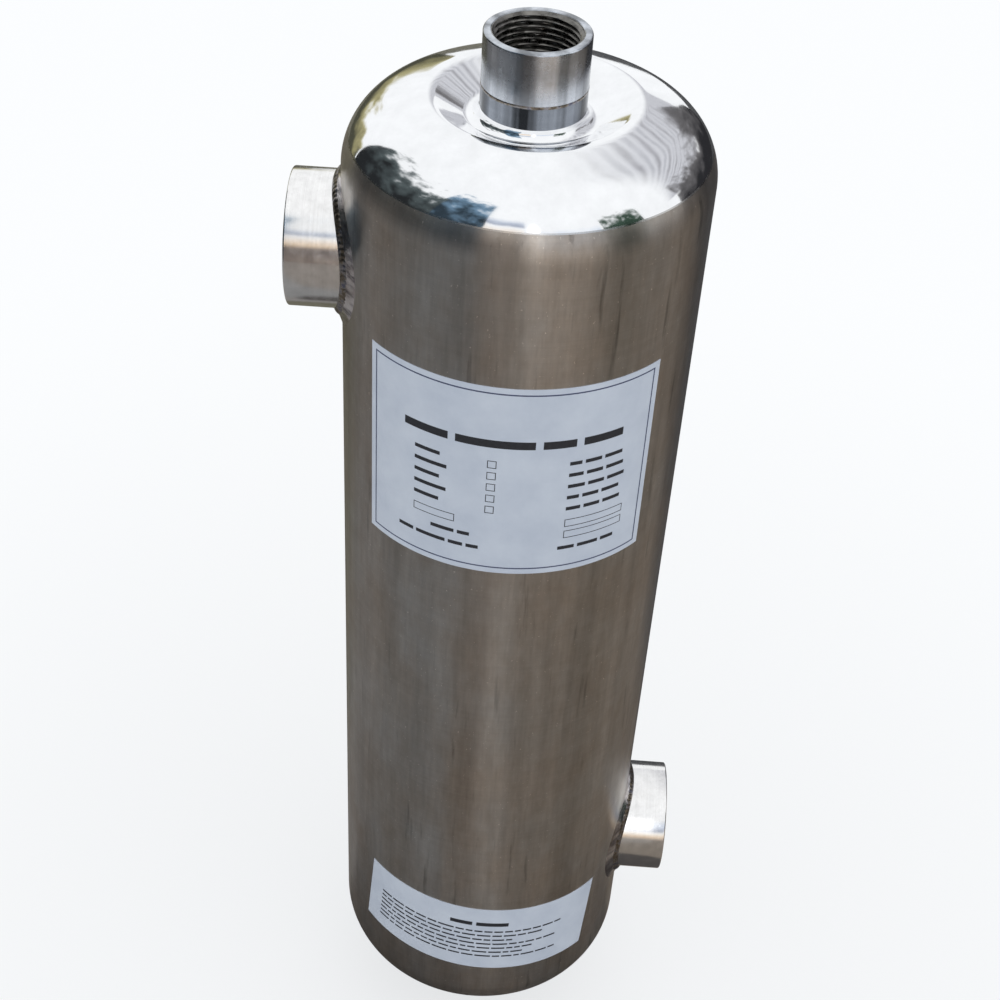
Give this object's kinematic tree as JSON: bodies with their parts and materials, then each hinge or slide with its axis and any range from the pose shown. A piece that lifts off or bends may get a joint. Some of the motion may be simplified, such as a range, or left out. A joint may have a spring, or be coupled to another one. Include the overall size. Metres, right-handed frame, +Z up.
{
  "type": "pool heat exchanger",
  "caption": "Upright stainless shell-and-tube heat exchanger with drawn heads, threaded end sockets, threaded side sockets on opposite sides and blank film labels.",
  "frame": {"origin": "centre of the bottom socket's end face, on the vessel's axis", "axes": "+Z up the vessel, upper side port towards -X, lower side port towards +X, labels towards -Y"},
  "size_m": [0.1812, 0.1415, 0.5359],
  "materials": {
    "shell_steel": "brushed round the vessel, with fine scratches",
    "head_steel": "mirror polished",
    "socket_steel": "turned and polished",
    "weld_steel": "rippled bead with heat tint",
    "bundle_steel": "drawn, dull",
    "label_film": "satin film"
  },
  "bodies": {
    "root": {"shell": "shell_steel", "top_head": "head_steel", "bottom_head": "head_steel", "top_socket": "socket_steel", "bottom_socket": "socket_steel", "upper_side_socket": "socket_steel", "lower_side_socket": "socket_steel", "top_socket_weld": "weld_steel", "bottom_socket_weld": "weld_steel", "upper_side_weld": "weld_steel", "lower_side_weld": "weld_steel", "upper_tube_sheet": "bundle_steel", "lower_tube_sheet": "bundle_steel", "tube_01": "bundle_steel", "tube_02": "bundle_steel", "tube_03": "bundle_steel", "tube_04": "bundle_steel", "tube_05": "bundle_steel", "tube_06": "bundle_steel", "tube_07": "bundle_steel", "tube_08": "bundle_steel", "tube_09": "bundle_steel", "tube_10": "bundle_steel", "tube_11": "bundle_steel", "tube_12": "bundle_steel", "tube_13": "bundle_steel", "tube_14": "bundle_steel", "tube_15": "bundle_steel", "tube_16": "bundle_steel", "tube_17": "bundle_steel", "tube_18": "bundle_steel", "tube_19": "bundle_steel", "baffle_1": "bundle_steel", "baffle_2": "bundle_steel", "baffle_3": "bundle_steel", "baffle_4": "bundle_steel", "rating_label": "label_film", "lower_label": "label_film"}
  },
  "joints": []
}
